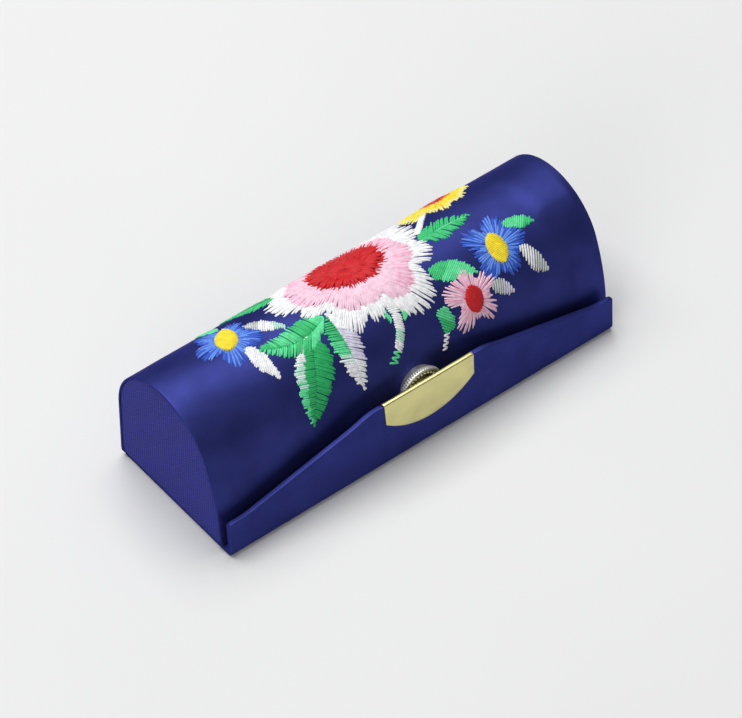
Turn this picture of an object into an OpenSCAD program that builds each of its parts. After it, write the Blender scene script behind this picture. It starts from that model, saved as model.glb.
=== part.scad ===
// Hinged satin case for one lipstick, with a mirror in its cover.
// A card trough with a D-shaped section stands open side down on a flat cover. Its back wall is
// hinged to the cover with cloth. A flap bends up from the cover's front edge, carries a brass
// clasp plate, and closes on a press-stud socket in the trough's front wall.
// Millimetres. X runs along the case, -Y is the flap's side and +Z is up. The origin is on the
// surface that the case stands on, under its middle.

/* [Trough] */
// Length over the trough's ends
case_len = 95; // [84:1:120]
// Depth from the flap's face to the back wall
case_depth = 34; // [33:0.5:36]
// Height to the top of the satin
case_h = 29.1; // [28:0.1:31]
// Radius of the crown
crown_r = 14.2; // [13.5:0.1:15]
// Radius of the front wall's long curve
front_r = 50; // [45:1:60]
// Direction, from the crown's centre, in which the crown runs into the front wall
front_turn = 156.5; // [154:0.5:159]

/* [Card and cloth] */
// Card of the trough's walls
wall_card = 1.0; // [0.8:0.1:1.2]
// Card of the cover and the flap
thin_card = 0.8; // [0.7:0.1:0.9]
// One layer of satin or lining
cloth_t = 0.2; // [0.15:0.01:0.22]
// How far the satin is turned in over an edge
turn_in = 4; // [3:0.5:5]

/* [Cover] */
// Length of the cover and the flap
cover_len = 94; // [82:1:119]
// Distance from the back wall's face in to the cover's back edge
cover_inset = 1.6; // [1.4:0.1:1.8]
// Gap between the cover and the trough that stands on it
split_gap = 0.1; // [0.05:0.05:0.2]
// Outer radius of the bend between the cover and the flap
bend_r = 1.5; // [1.4:0.1:1.8]

/* [Mirror] */
// Length of the mirror
mirror_w = 82; // [70:1:86]
// Depth of the mirror
mirror_d = 24; // [20:1:24]
// Thickness of the mirror's glass
mirror_t = 1.2; // [1:0.1:1.5]
// Thickness of the tape that holds it
tape_t = 0.15; // [0.1:0.05:0.3]

/* [Flap] */
// Height of the flap's ends, measured up the flap from the table
flap_end_h = 8.6; // [7:0.1:10]
// Height of the flap's middle, measured up the flap from the table
flap_top_h = 15.5; // [15:0.1:16]
// Angle by which the flap leans in over the trough
flap_lean = 4; // [2:0.5:5]

/* [Clasp] */
// Width of the brass plate
plate_w = 21.7; // [18:0.1:24]
// Height of the brass plate up to its fold
plate_h = 8.7; // [8:0.1:9.5]
// Depth of the plate's curved lower edge
plate_sag = 4.1; // [2:0.1:5]
// Thickness of the brass sheet
plate_t = 0.3; // [0.25:0.05:0.35]
// How far the clasp sits to the right of the case's middle
clasp_x = 0.9; // [0:0.1:1.5]
// Height of the press stud's axis, measured up the flap from the table
clasp_h = 11.8; // [11.4:0.1:12]
// Outer radius of the socket's rim
rim_r = 5.2; // [4.8:0.1:5.4]
// Radius of the stud's head
stud_r = 1.6; // [1.5:0.05:1.65]

/* [Embroidery] */
// Height of the thread above the satin
thread_t = 0.45; // [0.3:0.05:0.5]
// Middle of the large flower along the case
peony_x = -1; // [-6:0.5:6]

/* [Hidden] */
$fn = 96;
PI_DEG = 180 / PI;

// Colours
navy = [0.13, 0.14, 0.42];
lining_colour = [0.09, 0.09, 0.12];
card_colour = [0.62, 0.58, 0.5];
brass = [0.78, 0.75, 0.48];
nickel = [0.72, 0.72, 0.68];

// The trough's section, in Y and Z
back_y = case_depth / 2;
crown_y = back_y - crown_r;
crown_z = case_h - crown_r;
front_cy = crown_y - (front_r - crown_r) * cos(front_turn);
front_cz = crown_z - (front_r - crown_r) * sin(front_turn);
far = 40;

// Layers, counted inwards from the satin's face
board_in = cloth_t;
lining_in = cloth_t + wall_card;
cavity_in = lining_in + cloth_t;

// Heights
cover_t = thin_card + 2 * cloth_t;
split_z = cover_t + split_gap;
half_len = case_len / 2;
half_cover = cover_len / 2;
shell_end = half_len - cloth_t;
end_inner = shell_end - wall_card;
seam_in = 0.25; // the end panels' cloth stops this far inside the trough's face

// The bend and the flap, in Y and Z
bend_y = -case_depth / 2 + bend_r;
bend_z = bend_r;
cover_back = back_y - cover_inset;
flap_out = bend_y - bend_r;
flap_in = flap_out + cover_t;
board_gap = 0.2; // between the cover's card and the bend
crimp_t = 0.5; // the flap's thickness where the plate grips it
leg_out = flap_out - plate_t;
leg_in = flap_out + crimp_t;
leg_face = leg_in + plate_t;
pocket_h = 7.4; // how far the plate's inner leg reaches down
pocket_gap = 0.1;

// The press stud and its socket, along the stud's axis, which is square to the flap
rim_y = flap_in + 0.5;
rim_w = 0.7;
dish_y = rim_y + 0.2;
barrel_r = 2.25;
barrel_t = 0.2;
barrel_end = rim_y + 2.7;
stud_tip = rim_y + 1.5;
tail_r = 0.8; // the stud's riveted tail, in the plate's inner leg
wall_reach = 8;

// Unrolled distance from the crown's top line to the end of the crown, on the front side
crown_run = crown_r * (front_turn - 90) / PI_DEG;

function unit(v) = v / norm(v);
function dir(angle) = [cos(angle), sin(angle)];

// Points of a round corner of radius r at b, between the directions to a and to c
function corner(a, b, c, r, steps = 8) =
    let (
        u = unit(a - b),
        v = unit(c - b),
        half = acos(u * v) / 2,
        middle = b + unit(u + v) * r / sin(half),
        from = b + u * r / tan(half) - middle,
        to = b + v * r / tan(half) - middle,
        start = atan2(from[1], from[0]),
        sweep = (atan2(to[1], to[0]) - start + 540) % 360 - 180
    )
    [for (i = [0:steps]) middle + r * dir(start + sweep * i / steps)];

// One half of the flap's outline, from the middle to the right, drawn in by d. Its raised part
// reaches out further by shift.
function flap_half(d, shift) =
    let (
        middle = [0, flap_top_h - d],
        shoulder = [14 + shift - d / 4, flap_top_h - d],
        slope_top = [18 + shift, flap_top_h - 1.3 - d],
        slope_end = [43 - d / 4, flap_end_h - d],
        tip = [half_cover - d, flap_end_h - d],
        foot = [half_cover - d, bend_z]
    )
    concat(
        corner(middle, shoulder, slope_top, 3),
        corner(shoulder, slope_top, slope_end, 10),
        corner(slope_top, slope_end, tip, 6),
        corner(slope_end, tip, foot, 0.8),
        [foot]
    );

// ---- Frames ----

// Draws a section given in Y and Z, from one X to another
module along_x(from, to) {
    translate([from, 0, 0]) rotate([90, 0, 90]) linear_extrude(to - from) children();
}

// The trough's section, drawn in by d and cut off below floor_z
module section(d, floor_z) {
    intersection() {
        translate([crown_y, crown_z]) circle(r = crown_r - d);
        polygon([
            [crown_y, crown_z],
            [crown_y, crown_z] + far * dir(0),
            [crown_y, crown_z] + far * dir(55),
            [crown_y, crown_z] + far * dir(110),
            [crown_y, crown_z] + far * dir(front_turn),
        ]);
    }
    intersection() {
        translate([front_cy, front_cz]) circle(r = front_r - d);
        polygon([
            [crown_y, floor_z],
            [crown_y, crown_z],
            [crown_y, crown_z] + far * dir(front_turn),
            [-far, floor_z],
        ]);
    }
    translate([crown_y, floor_z]) square([crown_r - d, crown_z - floor_z]);
}

// A flap drawn upright stands in its real, leaning place
module lean() {
    translate([0, bend_y, bend_z])
        rotate([-flap_lean, 0, 0])
            translate([0, -bend_y, -bend_z])
                children();
}

// The flap's outline, drawn in by d, between two depths of the upright flap
module flap_layer(d, from_y, to_y) {
    right = flap_half(d, clasp_x);
    left_half = flap_half(d, -clasp_x);
    left = [for (i = [len(left_half) - 1:-1:0]) [-left_half[i][0], left_half[i][1]]];
    translate([0, to_y, 0]) rotate([90, 0, 0]) linear_extrude(to_y - from_y)
        polygon(concat(right, left));
}

// A turned piece around the stud's axis: the profile is radius by depth in upright-flap Y
module turned() {
    lean() translate([clasp_x, 0, clasp_h]) rotate([-90, 0, 0]) rotate_extrude() children();
}

module washer(inner_r, outer_r, from_y, to_y) {
    turned() translate([inner_r, from_y]) square([outer_r - inner_r, to_y - from_y]);
}

// The solid that the trough's outer face bounds
module shell_solid(d = 0) {
    along_x(-shell_end, shell_end) section(d, split_z);
}

module stud_bore() {
    washer(0, barrel_r + 0.05, rim_y, rim_y + wall_reach);
}

// ---- Cover ----

module slab(half_x, from_y, to_y, from_z, to_z) {
    translate([-half_x, from_y, from_z]) cube([2 * half_x, to_y - from_y, to_z - from_z]);
}

module cover_board() {
    color(card_colour)
        slab(half_cover - cloth_t, bend_y + board_gap, cover_back - cloth_t, cloth_t, cloth_t + thin_card);
}

module cover_satin() {
    color(navy) difference() {
        slab(half_cover, bend_y, cover_back, 0, cover_t);
        slab(half_cover - cloth_t, bend_y - 1, cover_back - cloth_t, cloth_t, cloth_t + thin_card);
        slab(half_cover - turn_in, bend_y - 1, cover_back - turn_in, cloth_t, cover_t + 1);
    }
}

module cover_lining() {
    color(lining_colour)
        slab(half_cover - turn_in, bend_y + board_gap, cover_back - turn_in, cloth_t + thin_card, cover_t);
}

module mirror_tape() {
    color("white")
        slab(mirror_w / 2 - 3, 2 - mirror_d / 2, mirror_d / 2 - 2, cover_t, cover_t + tape_t);
}

module mirror_glass() {
    corner_r = 2;
    x = mirror_w / 2 - corner_r;
    y = mirror_d / 2 - corner_r;
    color("lightsteelblue") translate([0, 0, cover_t + tape_t]) linear_extrude(mirror_t) {
        square([2 * x, mirror_d], center = true);
        square([mirror_w, 2 * y], center = true);
        for (sx = [-1, 1], sy = [-1, 1]) translate([sx * x, sy * y]) circle(r = corner_r);
    }
}

// ---- Cloth hinges ----

module hinge_satin() {
    color(navy) along_x(-half_cover, half_cover) polygon([
        [back_y, split_z],
        [back_y - cloth_t, split_z],
        [cover_back, cloth_t],
        [cover_back, 0],
    ]);
}

module hinge_lining() {
    leg = 4;
    foot = 2.6;
    inner_y = back_y - cavity_in;
    color(lining_colour) along_x(-half_len + 2.5, half_len - 2.5) polygon([
        [inner_y, split_z + leg],
        [inner_y - cloth_t, split_z + leg],
        [inner_y - cloth_t, cover_t + cloth_t],
        [inner_y - foot, cover_t + cloth_t],
        [inner_y - foot, cover_t],
        [inner_y, cover_t],
    ]);
}

// A ring segment around the bend, from the flap's face round to the cover's underside
module bend_layer(inner_r, outer_r) {
    translate([0, bend_y, bend_z]) rotate([90, 0, 90]) rotate([0, 0, 180 - flap_lean])
        rotate_extrude(angle = 90 + flap_lean)
            translate([inner_r, -half_cover]) square([outer_r - inner_r, cover_len]);
}

module bend_satin() {
    color(navy) bend_layer(bend_r - cloth_t, bend_r);
}

module bend_lining() {
    color(lining_colour) bend_layer(bend_r - cover_t, bend_r - cover_t + cloth_t);
}

// ---- Flap ----

// The room behind the flap's thinned card, which the plate's inner leg takes
module clasp_pocket() {
    translate([clasp_x - plate_w / 2 - pocket_gap, leg_in, plate_top() - pocket_h - pocket_gap])
        cube([plate_w + 2 * pocket_gap, cover_t, far]);
}

function plate_top() = flap_top_h + 0.1;

module flap_board() {
    color(card_colour) lean() difference() {
        flap_layer(cloth_t, flap_out + cloth_t, flap_in - cloth_t);
        clasp_pocket();
        translate([-far * 2, flap_out, 0]) cube([far * 4, cover_t, bend_z + board_gap]);
    }
}

module flap_satin() {
    color(navy) lean() difference() {
        flap_layer(0, flap_out, flap_in);
        flap_layer(cloth_t, flap_out + cloth_t, flap_in - cloth_t);
        flap_layer(turn_in, flap_in - 2 * cloth_t, flap_in + cloth_t);
        clasp_pocket();
        translate([-half_cover + cloth_t, flap_out + cloth_t, 0])
            cube([cover_len - 2 * cloth_t, thin_card, bend_z + turn_in]);
    }
}

module flap_lining() {
    color(lining_colour) lean() difference() {
        flap_layer(turn_in, flap_in - cloth_t, flap_in);
        clasp_pocket();
    }
}

// The plate's face: straight sides and an arc below
module plate_face() {
    sag_r = (pow(plate_w / 2, 2) + pow(plate_sag, 2)) / (2 * plate_sag);
    low = plate_top() - plate_h;
    intersection() {
        translate([0, low + sag_r]) circle(r = sag_r, $fn = 180);
        translate([-plate_w / 2, low]) square([plate_w, plate_h]);
    }
}

module clasp_plate() {
    fold_r = (leg_face - leg_out) / 2;
    color(brass) lean() translate([clasp_x, 0, 0]) difference() {
        union() {
            translate([0, flap_out, 0]) rotate([90, 0, 0]) linear_extrude(plate_t) plate_face();
            translate([-plate_w / 2, leg_in, plate_top() - pocket_h])
                cube([plate_w, plate_t, pocket_h]);
            translate([0, leg_out + fold_r, plate_top()]) rotate([0, -90, 0])
                rotate([0, 0, -90]) translate([0, 0, -plate_w / 2]) linear_extrude(plate_w)
                    difference() {
                        circle(r = fold_r);
                        circle(r = fold_r - plate_t);
                        translate([-fold_r, -2 * fold_r]) square(2 * fold_r);
                    }
        }
        translate([0, leg_in - pocket_gap, clasp_h]) rotate([-90, 0, 0])
            cylinder(r = tail_r, h = plate_t + 2 * pocket_gap);
    }
}

module clasp_stud() {
    flange_r = 2.4;
    neck_r = 1.2;
    head_y = stud_tip - 0.75;
    color(brass) turned() polygon([
        [0, leg_in],
        [tail_r, leg_in],
        [tail_r, leg_face],
        [flange_r, leg_face],
        [flange_r, leg_face + 0.15],
        [neck_r + 0.3, leg_face + 0.3],
        [neck_r, leg_face + 0.5],
        [neck_r, head_y],
        [stud_r, head_y + 0.2],
        [stud_r, stud_tip - 0.35],
        [stud_r - 0.4, stud_tip],
        [0, stud_tip],
    ]);
}

// ---- Trough ----

module shell_board() {
    color(card_colour) difference() {
        along_x(-shell_end + cloth_t, shell_end - cloth_t) section(board_in, split_z + cloth_t);
        along_x(-case_len, case_len) section(lining_in, 0);
        stud_bore();
    }
}

module shell_satin() {
    color(navy) difference() {
        shell_solid();
        along_x(-shell_end + cloth_t, shell_end - cloth_t) section(board_in, split_z + cloth_t);
        along_x(-case_len, case_len) section(lining_in, 0);
        stud_bore();
    }
}

module shell_lining() {
    color(lining_colour) difference() {
        along_x(-end_inner, end_inner) section(lining_in, split_z + cloth_t);
        along_x(-case_len, case_len) section(cavity_in, 0);
        stud_bore();
    }
}

module end_board() {
    color(card_colour)
        along_x(end_inner, shell_end) section(lining_in, split_z + cloth_t);
}

// The end panel's cloth: over the trough's end, and turned in under the panel's card
module end_satin() {
    color(navy) {
        along_x(shell_end, half_len) section(seam_in, split_z);
        difference() {
            along_x(end_inner, shell_end) section(lining_in, split_z);
            along_x(end_inner - 1, shell_end + 1) section(0, split_z + cloth_t);
        }
    }
}

module end_lining() {
    color(lining_colour)
        along_x(end_inner - cloth_t, end_inner) section(cavity_in, split_z + cloth_t);
}

module left_side() {
    mirror([1, 0, 0]) children();
}

// ---- Socket ----

module socket_rim() {
    color(nickel) difference() {
        washer(rim_r - rim_w, rim_r, rim_y, rim_y + wall_reach / 2);
        shell_solid();
    }
}

module socket_dish() {
    mouth_r = barrel_r;
    edge_r = rim_r - rim_w;
    sheet_t = 0.2;
    color(brass) difference() {
        turned() polygon([
            [edge_r, dish_y],
            [edge_r, dish_y + sheet_t],
            [mouth_r + 0.8, dish_y + 0.2 + sheet_t],
            [mouth_r, dish_y + 0.2 + sheet_t],
            [mouth_r, dish_y + 0.2],
            [mouth_r + 0.8, dish_y + 0.2],
        ]);
        shell_solid();
    }
}

module socket_eyelet() {
    color(nickel) turned() polygon([
        [barrel_r - barrel_t, dish_y],
        [barrel_r + 0.6, dish_y],
        [barrel_r + 0.6, dish_y + 0.2],
        [barrel_r, dish_y + 0.2],
        [barrel_r, barrel_end],
        [barrel_r - barrel_t, barrel_end],
    ]);
}

// The cap inside the trough: its disc follows the wall, its spigot the stud's axis
module socket_cap() {
    cap_r = 4;
    cap_t = 0.5;
    wall_angle = 180 - asin((clasp_h - front_cz) / front_r);
    foot_gap = 0.17; // keeps the disc's flat face clear of the curved lining
    foot_r = front_r - cavity_in - foot_gap;
    color(nickel) {
        translate([clasp_x, front_cy, front_cz] + foot_r * [0, cos(wall_angle), sin(wall_angle)])
            rotate([90 + wall_angle, 0, 0]) cylinder(r1 = cap_r, r2 = cap_r - 0.3, h = cap_t);
        washer(0, barrel_r - barrel_t - 0.1, stud_tip + 0.7, barrel_end + 0.6);
    }
}

// An oval ring of wire in the eyelet's mouth, which springs open around the stud's head
module snap_spring() {
    wire_r = 0.13;
    loop_r = 1.4;
    half_run = 0.48;
    spring_y = rim_y + 0.55;
    color("silver") lean() translate([clasp_x, spring_y, clasp_h]) rotate([90, 0, 0]) {
        for (side = [-1, 1]) {
            translate([side * half_run, 0, 0]) rotate([0, 0, -side * 90])
                rotate_extrude(angle = 180) translate([loop_r, 0]) circle(r = wire_r, $fn = 24);
            translate([-half_run, side * loop_r, 0]) rotate([0, 90, 0])
                cylinder(r = wire_r, h = 2 * half_run, $fn = 24);
        }
    }
}

// ---- Embroidery ----

// Places are [x, run]: along the case, and along the satin from the crown's top line towards
// the front. A motif is drawn flat around its own middle run, then cut from the thread layer.
module sewn(run, depth = 4) {
    on_crown = run < crown_run;
    angle = on_crown ? 90 + run / crown_r * PI_DEG : front_turn + (run - crown_run) / front_r * PI_DEG;
    centre = on_crown ? [0, crown_y, crown_z] : [0, front_cy, front_cz];
    radius = on_crown ? crown_r : front_r;
    intersection() {
        translate(centre + radius * [0, cos(angle), sin(angle)]) rotate([angle + 90, 0, 0])
            translate([0, 0, -2]) linear_extrude(depth + 2) translate([0, -run]) children();
        along_x(-half_len + 5, half_len - 5) difference() {
            section(-thread_t, split_z + 3);
            section(0, split_z + 2);
        }
    }
}

// A round flower head of equal petals
module petals(count, reach, petal_r, turn) {
    circle(r = reach - petal_r);
    for (i = [0:count - 1])
        translate((reach - petal_r) * dir(turn + i * 360 / count)) circle(r = petal_r);
}

// A wide flower head: lobes around an ellipse, filled in the middle
module wide_petals(count, half_x, half_run, petal_r, turn = 0) {
    for (i = [0:count - 1])
        let (at = dir(turn + i * 360 / count))
            translate([half_x * at[0], half_run * at[1]]) circle(r = petal_r);
    square([2 * half_x, half_run], center = true);
    square([half_x, 2 * half_run], center = true);
}

// A leaf between two points: the lens that two arcs enclose
module leaf(from, to, half_w) {
    half = norm(to - from) / 2;
    arc_r = (half * half + half_w * half_w) / (2 * half_w);
    middle = (from + to) / 2;
    angle = atan2(to[1] - from[1], to[0] - from[0]);
    translate(middle) rotate(angle) intersection() {
        translate([0, arc_r - half_w]) circle(r = arc_r);
        translate([0, half_w - arc_r]) circle(r = arc_r);
    }
}

// A line of thread through points
module stroke(points, width) {
    for (i = [0:len(points) - 2])
        let (a = points[i], b = points[i + 1])
            translate(a) rotate(atan2(b[1] - a[1], b[0] - a[0]))
                translate([0, -width / 2]) square([norm(b - a), width]);
    for (p = points) translate(p) circle(d = width);
}

peony_run = -4;
blue_left = [-30, -3.2];
blue_right = [26.6, 8.4];
pink_at = [17.2, 14.5];
yellow_at = [26.5, -12];
crown_motif = -4; // middle run of the motifs over the crown
front_motif = 12; // middle run of the motifs on the front wall
left_leaves_run = 8;

module peony_outline() {
    translate([peony_x, peony_run]) wide_petals(10, 12.2, 7.4, 4.6);
}

module peony_pink_outline() {
    translate([peony_x, peony_run]) wide_petals(10, 8.8, 5.8, 3.6);
}

module peony_red_outline() {
    translate([peony_x + 0.5, peony_run - 1.4]) wide_petals(8, 5, 3.2, 2.6);
}

module blue_outline(at, turn) {
    translate(at) petals(5, 6.8, 2.8, turn);
}

module pink_outline() {
    translate(pink_at) petals(5, 6.8, 2.8, 90);
}

module yellow_outline() {
    translate(yellow_at) petals(6, 6.6, 3, 30);
}

module peony_keepout() {
    sewn(peony_run, 9) peony_outline();
}

module pink_keepout() {
    sewn(pink_at[1], 9) pink_outline();
}

module peony_white() {
    color("white") sewn(peony_run, 9) difference() {
        peony_outline();
        peony_pink_outline();
    }
}

module peony_pink() {
    color("pink") sewn(peony_run, 9) difference() {
        peony_pink_outline();
        peony_red_outline();
    }
}

module peony_red() {
    color("crimson") sewn(peony_run, 9) peony_red_outline();
}

module blue_flower_left() {
    color("royalblue") sewn(blue_left[1]) difference() {
        blue_outline(blue_left, 105);
        translate(blue_left) circle(r = 2.6);
    }
}

module blue_flower_right() {
    color("royalblue") difference() {
        sewn(blue_right[1]) difference() {
            blue_outline(blue_right, 75);
            translate(blue_right) circle(r = 2.3);
        }
        pink_keepout();
    }
}

module pink_flower() {
    color("lightpink") sewn(pink_at[1]) difference() {
        pink_outline();
        translate(pink_at) circle(r = 2.2);
    }
}

module yellow_flower() {
    color("gold") sewn(yellow_at[1]) difference() {
        yellow_outline();
        translate(yellow_at) circle(r = 2.8);
    }
}

module flower_centres() {
    color("gold") {
        sewn(blue_left[1]) translate(blue_left) circle(r = 2.6);
        sewn(blue_right[1]) translate(blue_right) circle(r = 2.3);
    }
    color("crimson") {
        sewn(pink_at[1]) translate(pink_at) circle(r = 2.2);
        sewn(yellow_at[1]) translate(yellow_at) circle(r = 2.8);
    }
}

module green_leaves() {
    color("mediumseagreen") difference() {
        union() {
            sewn(crown_motif, 5) {
                leaf([17, -0.4], [26, -0.5], 2.6);
                leaf([-18.6, -9.2], [-25, -13], 1.9);
                leaf([-37, -10], [-34, -13.5], 1);
            }
            sewn(left_leaves_run, 5) {
                leaf([-16.2, 4.9], [-26.8, 3.2], 2.4);
                leaf([-17.5, 8.6], [-23, 20.8], 3.2);
            }
            sewn(blue_right[1]) leaf([33.9, 6.4], [37.5, 7.4], 1);
            sewn(pink_at[1]) leaf([9.6, 14], [9.4, 19.2], 1.5);
        }
        peony_keepout();
        pink_keepout();
    }
}

module pale_leaves() {
    color("whitesmoke") difference() {
        union() {
            sewn(blue_left[1]) leaf([-22.4, -3.8], [-18.8, 0.6], 0.9);
            sewn(left_leaves_run) {
                leaf([-27.6, 4.2], [-26, 9.4], 1.2);
                leaf([-11.2, 9], [-10.8, 19.5], 2.6);
            }
            sewn(front_motif) {
                leaf([31.2, 14.4], [35, 18], 1.2);
                leaf([24.6, 16.2], [27.5, 18], 0.8);
            }
        }
        peony_keepout();
    }
}

module stems() {
    color("honeydew") difference() {
        union() {
            sewn(front_motif) stroke([[0.9, 8], [0.9, 10.5], [0, 13], [-1.4, 15.6], [-3, 18]], 1.8);
            sewn(crown_motif) stroke([[15.6, -3.4], [18, -5.2]], 1.2);
        }
        peony_keepout();
    }
}

cover_board();
cover_satin();
cover_lining();
mirror_tape();
mirror_glass();
hinge_satin();
hinge_lining();
bend_satin();
bend_lining();
flap_board();
flap_satin();
flap_lining();
clasp_plate();
clasp_stud();
shell_board();
shell_satin();
shell_lining();
left_side() end_board();  // end_board_left
end_board();  // end_board_right
left_side() end_satin();  // end_satin_left
end_satin();  // end_satin_right
left_side() end_lining();  // end_lining_left
end_lining();  // end_lining_right
socket_rim();
socket_dish();
socket_eyelet();
socket_cap();
snap_spring();
peony_white();
peony_pink();
peony_red();
blue_flower_left();
blue_flower_right();
pink_flower();
yellow_flower();
flower_centres();
green_leaves();
pale_leaves();
stems();
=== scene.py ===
"""Looks of the hinged satin lipstick case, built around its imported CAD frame.

X runs along the case, -Y is the flap's side, +Z is up. Layouts are in millimetres, and MM turns
them into metres. Cloth is laid out flat first, as (x, run, depth): run goes over the outer face
and depth goes in from it. A mapping then bends that flat layout round the case.
"""
import random
from math import asin, ceil, copysign, cos, degrees, exp, hypot, pi, radians, sin, sqrt

import bmesh
import bpy
from mathutils import Matrix, Vector, noise


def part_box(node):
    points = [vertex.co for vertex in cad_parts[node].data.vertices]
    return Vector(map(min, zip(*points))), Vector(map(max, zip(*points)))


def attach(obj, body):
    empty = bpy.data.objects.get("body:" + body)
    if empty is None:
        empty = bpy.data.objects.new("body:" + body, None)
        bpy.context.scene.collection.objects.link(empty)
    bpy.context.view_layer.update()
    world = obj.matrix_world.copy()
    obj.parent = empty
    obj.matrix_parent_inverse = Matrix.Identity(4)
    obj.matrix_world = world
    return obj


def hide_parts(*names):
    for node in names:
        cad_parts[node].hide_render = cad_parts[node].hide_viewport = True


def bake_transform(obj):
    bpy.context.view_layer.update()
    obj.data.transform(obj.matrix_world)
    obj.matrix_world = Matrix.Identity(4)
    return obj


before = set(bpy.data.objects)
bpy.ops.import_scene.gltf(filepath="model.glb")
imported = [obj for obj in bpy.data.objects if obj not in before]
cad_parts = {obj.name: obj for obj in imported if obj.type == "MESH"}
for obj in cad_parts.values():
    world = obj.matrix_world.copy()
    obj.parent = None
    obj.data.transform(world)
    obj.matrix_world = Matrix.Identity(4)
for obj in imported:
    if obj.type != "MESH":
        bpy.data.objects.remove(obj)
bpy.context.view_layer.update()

MM = 0.001
DICE = random.Random(7)

# ---- Sizes in millimetres, from the frame where it holds them ----


def box_mm(node):
    """A CAD node's lowest and highest corners, in millimetres."""
    low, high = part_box(node)
    return [v / MM for v in low], [v / MM for v in high]


SHELL_LOW, SHELL_HIGH = box_mm("shell_satin")
COVER_HIGH = box_mm("cover_satin")[1]
BEND_LOW, BEND_HIGH = box_mm("bend_satin")
PLATE_LOW, PLATE_HIGH = box_mm("clasp_plate")
HINGE_LOW, HINGE_HIGH = box_mm("hinge_lining")

HALF_LEN = box_mm("end_satin_right")[1][0]
LINING_END_X = box_mm("end_lining_right")[0][0]
BACK_Y = SHELL_HIGH[1]
SPLIT_Z = SHELL_LOW[2]
CASE_H = SHELL_HIGH[2]
HALF_COVER = COVER_HIGH[0]
COVER_BACK = COVER_HIGH[1]
COVER_T = COVER_HIGH[2]
BEND_Y = BEND_HIGH[1]
BEND_R = BEND_HIGH[1] - BEND_LOW[1]
CLASP_X = (PLATE_LOW[0] + PLATE_HIGH[0]) / 2
HALF_PLATE = (PLATE_HIGH[0] - PLATE_LOW[0]) / 2

SKIN_T = 0.12  # the cloth as it is modelled here
WEAVE_BANDS = 470  # the end panels' weave, in a wave texture's own scale
WALL_T = 1.2  # the trough's satin and card
CAVITY_IN = 1.4  # the trough's satin, card and lining
TURN_IN = 4.0  # how far the cover's satin is folded back along its inside
SEAM_IN = 0.45  # the end panels' seam, in from the trough's face
SEAM_STEP = 0.2  # how far an end panel's face lies inside the seam

# The trough's section: a crown, then a long curve down the front
CROWN_R = 14.2
FRONT_R = 50.0
FRONT_TURN = radians(156.5)
CROWN_Y = BACK_Y - CROWN_R
CROWN_Z = CASE_H - CROWN_R
FRONT_Y = CROWN_Y - (FRONT_R - CROWN_R) * cos(FRONT_TURN)
FRONT_Z = CROWN_Z - (FRONT_R - CROWN_R) * sin(FRONT_TURN)
CROWN_RUN = CROWN_R * (FRONT_TURN - pi / 2)
CROWN_START = -CROWN_R * pi / 2
BACK_RUN = CROWN_START - (CROWN_Z - SPLIT_Z)


def front_run(z):
    """The run where the trough's front is at height z."""
    return CROWN_RUN + FRONT_R * (pi - asin((z - FRONT_Z) / FRONT_R) - FRONT_TURN)


FRONT_RUN = front_run(SPLIT_Z)

# The flap: heights are measured up it from the table, before it leans in
FLAP_LEAN = radians(4)
FLAP_TOP = 15.5
FLAP_END = 8.6
SHOULDER_X = 14.0
SHOULDER_DROP = 1.3
SLOPE_X = 18.0
SLOPE_END_X = 43.0
CORNER_R = 0.8

# The clasp plate, and the press stud's socket
PLATE_T = 0.3
PLATE_TOP = FLAP_TOP + 0.1
PLATE_H = 8.7
PLATE_SAG = 4.1
CRIMP_T = 0.5  # the flap where the plate grips it
GRIP_GAP = 0.1
INNER_LEG = 7.4
CLASP_H = 11.8
RIM_R = 5.0
RIM_W = 0.7
RIM_DEPTH = 1.7

# Linear colours
NAVY = (0.035, 0.043, 0.208)
WEAVE_NAVY = (0.034, 0.038, 0.25)
LINING = (0.012, 0.012, 0.02)
THREADS = {
    "white": (0.93, 0.94, 0.96),
    "pink": (0.97, 0.48, 0.64),
    "pale_pink": (0.97, 0.64, 0.77),
    "red": (0.64, 0.008, 0.014),
    "blue": (0.03, 0.1, 0.58),
    "sky": (0.12, 0.29, 0.86),
    "yellow": (0.97, 0.76, 0.025),
    "cream": (0.9, 0.84, 0.3),
    "orange": (0.85, 0.2, 0.01),
    "deep_green": (0.018, 0.45, 0.13),
    "green": (0.045, 0.58, 0.2),
    "mint": (0.12, 0.78, 0.34),
    "pale_mint": (0.52, 0.84, 0.68),
    "grey": (0.62, 0.66, 0.64),
    "lilac": (0.72, 0.7, 0.84),
}

# ---- From the flat layout to the case ----


def on_trough(x, run, depth):
    """run is 0 along the crown's top line, and grows towards the front."""
    if run < CROWN_START:
        return x, BACK_Y - depth, CROWN_Z + run - CROWN_START
    if run < CROWN_RUN:
        angle = pi / 2 + run / CROWN_R
        r = CROWN_R - depth
        return x, CROWN_Y + r * cos(angle), CROWN_Z + r * sin(angle)
    angle = FRONT_TURN + (run - CROWN_RUN) / FRONT_R
    r = FRONT_R - depth
    return x, FRONT_Y + r * cos(angle), FRONT_Z + r * sin(angle)


BEND_RUN = BEND_R * (pi / 2 + FLAP_LEAN)


def on_cover(x, run, depth):
    """run is 0 where the cover's underside starts to bend, and grows up the flap."""
    if run < 0:
        return x, BEND_Y - run, depth
    r = BEND_R - depth
    if run < BEND_RUN:
        angle = run / BEND_R
        return x, BEND_Y - r * sin(angle), BEND_R - r * cos(angle)
    up = run - BEND_RUN
    c, s = cos(FLAP_LEAN), sin(FLAP_LEAN)
    return x, BEND_Y - r * c + up * s, BEND_R + r * s + up * c


def on_flap(x, height, depth):
    """height is measured up the flap from the table."""
    return on_cover(x, height - BEND_R + BEND_RUN, depth)


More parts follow.
